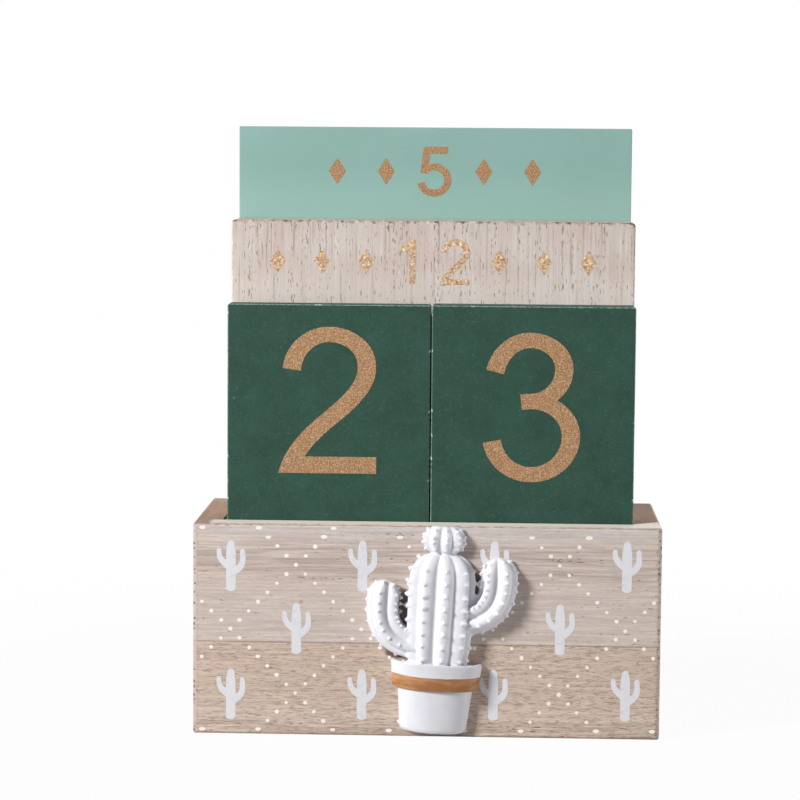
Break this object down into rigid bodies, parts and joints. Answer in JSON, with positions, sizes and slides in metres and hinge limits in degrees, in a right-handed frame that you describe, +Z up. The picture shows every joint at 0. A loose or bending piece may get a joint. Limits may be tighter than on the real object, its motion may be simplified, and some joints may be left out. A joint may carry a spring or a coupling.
{
  "type": "perpetual desk calendar",
  "caption": "Open wooden desk tray with number, month and weekday boards on edge in stepped ranks; boards lift out to change the date, and a potted cactus is glued on the front.",
  "frame": {"origin": "middle of the tray's underside, on the table", "axes": "+X right as seen from the front, -Y front, +Z up; the boards lift along +Z"},
  "size_m": [0.15, 0.0692, 0.1952],
  "materials": {
    "tray_wood": "whitewashed, horizontal grain",
    "cast_resin": "white resin casting, satin",
    "number_tile_paint": "flat dark green paint, worn edges",
    "month_plate_wood": "whitewashed, upright grain",
    "weekday_plate_paint": "flat mint paint"
  },
  "bodies": {
    "tray": {"front_panel": "tray_wood", "back_panel": "tray_wood", "left_end": "tray_wood", "right_end": "tray_wood", "base_board": "tray_wood", "cactus_pot": "cast_resin", "cactus_trunk": "cast_resin", "cactus_left_arm": "cast_resin", "cactus_right_arm": "cast_resin"},
    "tile_tens_2_3": {"tile_tens_2_3": "number_tile_paint"},
    "tile_tens_0_1": {"tile_tens_0_1": "number_tile_paint"},
    "tile_ones_0_1": {"tile_ones_0_1": "number_tile_paint"},
    "tile_ones_2_3": {"tile_ones_2_3": "number_tile_paint"},
    "tile_ones_4_5": {"tile_ones_4_5": "number_tile_paint"},
    "tile_ones_6_7": {"tile_ones_6_7": "number_tile_paint"},
    "tile_ones_8_9": {"tile_ones_8_9": "number_tile_paint"},
    "month_plate_1": {"month_plate_1": "month_plate_wood"},
    "month_plate_2": {"month_plate_2": "month_plate_wood"},
    "month_plate_3": {"month_plate_3": "month_plate_wood"},
    "month_plate_4": {"month_plate_4": "month_plate_wood"},
    "month_plate_5": {"month_plate_5": "month_plate_wood"},
    "month_plate_6": {"month_plate_6": "month_plate_wood"},
    "weekday_plate_1": {"weekday_plate_1": "weekday_plate_paint"},
    "weekday_plate_2": {"weekday_plate_2": "weekday_plate_paint"},
    "weekday_plate_3": {"weekday_plate_3": "weekday_plate_paint"},
    "weekday_plate_4": {"weekday_plate_4": "weekday_plate_paint"}
  },
  "joints": [
    {"name": "tile_tens_2_3_lift", "type": "slide", "parent": "tray", "child": "tile_tens_2_3", "axis": [0, 0, 1], "range_m": [0, 0.192]},
    {"name": "tile_tens_0_1_lift", "type": "slide", "parent": "tray", "child": "tile_tens_0_1", "axis": [0, 0, 1], "range_m": [0, 0.192]},
    {"name": "tile_ones_0_1_lift", "type": "slide", "parent": "tray", "child": "tile_ones_0_1", "axis": [0, 0, 1], "range_m": [0, 0.192]},
    {"name": "tile_ones_2_3_lift", "type": "slide", "parent": "tray", "child": "tile_ones_2_3", "axis": [0, 0, 1], "range_m": [0, 0.192]},
    {"name": "tile_ones_4_5_lift", "type": "slide", "parent": "tray", "child": "tile_ones_4_5", "axis": [0, 0, 1], "range_m": [0, 0.192]},
    {"name": "tile_ones_6_7_lift", "type": "slide", "parent": "tray", "child": "tile_ones_6_7", "axis": [0, 0, 1], "range_m": [0, 0.192]},
    {"name": "tile_ones_8_9_lift", "type": "slide", "parent": "tray", "child": "tile_ones_8_9", "axis": [0, 0, 1], "range_m": [0, 0.192]},
    {"name": "month_plate_1_lift", "type": "slide", "parent": "tray", "child": "month_plate_1", "axis": [0, 0, 1], "range_m": [0, 0.192]},
    {"name": "month_plate_2_lift", "type": "slide", "parent": "tray", "child": "month_plate_2", "axis": [0, 0, 1], "range_m": [0, 0.192]},
    {"name": "month_plate_3_lift", "type": "slide", "parent": "tray", "child": "month_plate_3", "axis": [0, 0, 1], "range_m": [0, 0.192]},
    {"name": "month_plate_4_lift", "type": "slide", "parent": "tray", "child": "month_plate_4", "axis": [0, 0, 1], "range_m": [0, 0.192]},
    {"name": "month_plate_5_lift", "type": "slide", "parent": "tray", "child": "month_plate_5", "axis": [0, 0, 1], "range_m": [0, 0.192]},
    {"name": "month_plate_6_lift", "type": "slide", "parent": "tray", "child": "month_plate_6", "axis": [0, 0, 1], "range_m": [0, 0.192]},
    {"name": "weekday_plate_1_lift", "type": "slide", "parent": "tray", "child": "weekday_plate_1", "axis": [0, 0, 1], "range_m": [0, 0.192]},
    {"name": "weekday_plate_2_lift", "type": "slide", "parent": "tray", "child": "weekday_plate_2", "axis": [0, 0, 1], "range_m": [0, 0.192]},
    {"name": "weekday_plate_3_lift", "type": "slide", "parent": "tray", "child": "weekday_plate_3", "axis": [0, 0, 1], "range_m": [0, 0.192]},
    {"name": "weekday_plate_4_lift", "type": "slide", "parent": "tray", "child": "weekday_plate_4", "axis": [0, 0, 1], "range_m": [0, 0.192]}
  ]
}
